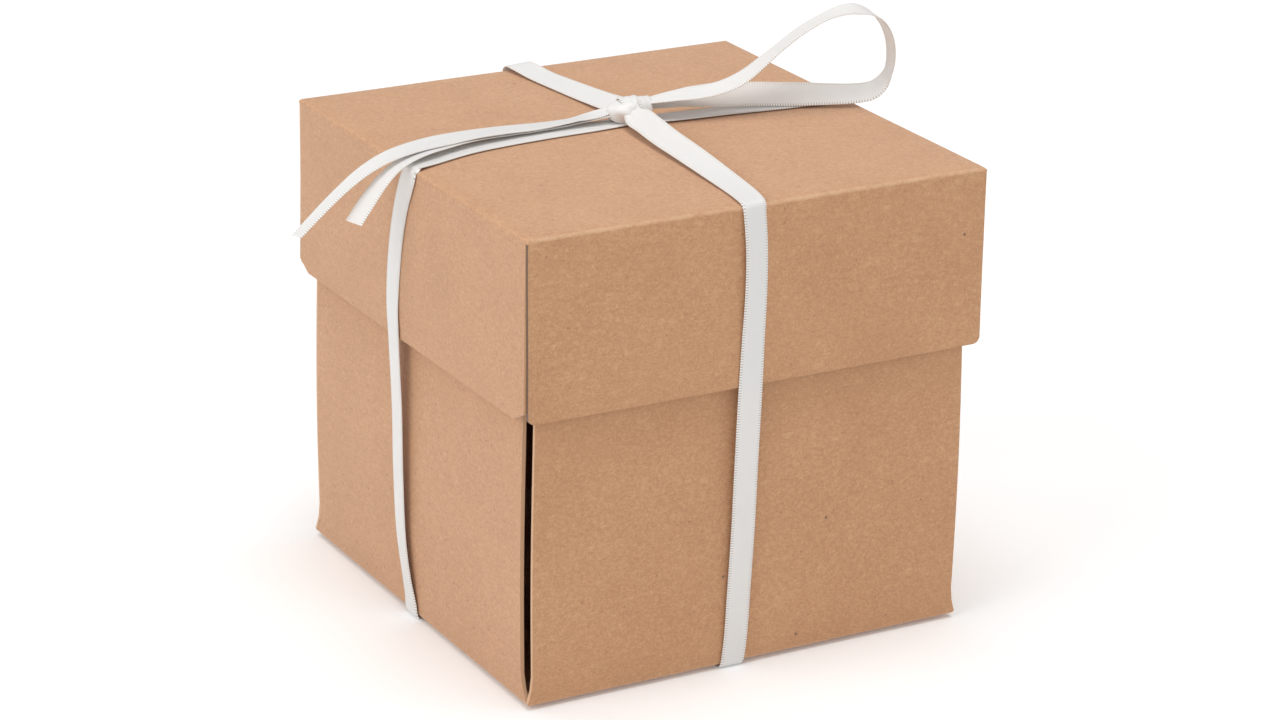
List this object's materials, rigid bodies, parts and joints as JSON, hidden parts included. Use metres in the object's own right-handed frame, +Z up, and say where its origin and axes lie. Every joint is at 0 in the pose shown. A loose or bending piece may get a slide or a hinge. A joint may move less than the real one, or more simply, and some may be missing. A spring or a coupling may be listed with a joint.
{
  "type": "gift box",
  "caption": "Square two-piece kraft board gift box with a deep lift-off lid, tied both ways with a narrow white satin ribbon in a one-loop bow.",
  "frame": {"origin": "on the surface the box stands on, under the middle of the box", "axes": "+Z up, -Y the front, +X the right side; the loop of the bow points to +X and its tails to -X"},
  "size_m": [0.1347, 0.1044, 0.1198],
  "materials": {
    "kraft_board": "matt uncoated kraft, fine fibre and specks, paler at worn folds",
    "white_ribbon": "off-white single-face satin with woven edges"
  },
  "bodies": {
    "base": {"base_floor": "kraft_board", "base_wall_front": "kraft_board", "base_wall_back": "kraft_board", "base_wall_left": "kraft_board", "base_wall_right": "kraft_board", "ribbon_under_across": "white_ribbon", "ribbon_under_front_to_back": "white_ribbon", "ribbon_side_front": "white_ribbon", "ribbon_side_back": "white_ribbon", "ribbon_side_left": "white_ribbon", "ribbon_side_right": "white_ribbon"},
    "lid": {"lid_top_panel": "kraft_board", "lid_wall_front": "kraft_board", "lid_wall_back": "kraft_board", "lid_wall_left": "kraft_board", "lid_wall_right": "kraft_board", "lid_tab_front_left": "kraft_board", "lid_tab_front_right": "kraft_board", "lid_tab_back_left": "kraft_board", "lid_tab_back_right": "kraft_board", "ribbon_top_front": "white_ribbon", "ribbon_top_back": "white_ribbon", "ribbon_top_left": "white_ribbon", "ribbon_top_right": "white_ribbon", "ribbon_knot": "white_ribbon", "bow_loop": "white_ribbon", "bow_tail_long": "white_ribbon", "bow_tail_short": "white_ribbon"}
  },
  "joints": [
    {"name": "lid_lift", "type": "slide", "parent": "base", "child": "lid", "axis": [0, 0, 1], "range_m": [0, 0.06], "deforming": ["ribbon_side_front", "ribbon_side_back", "ribbon_side_left", "ribbon_side_right"]}
  ]
}
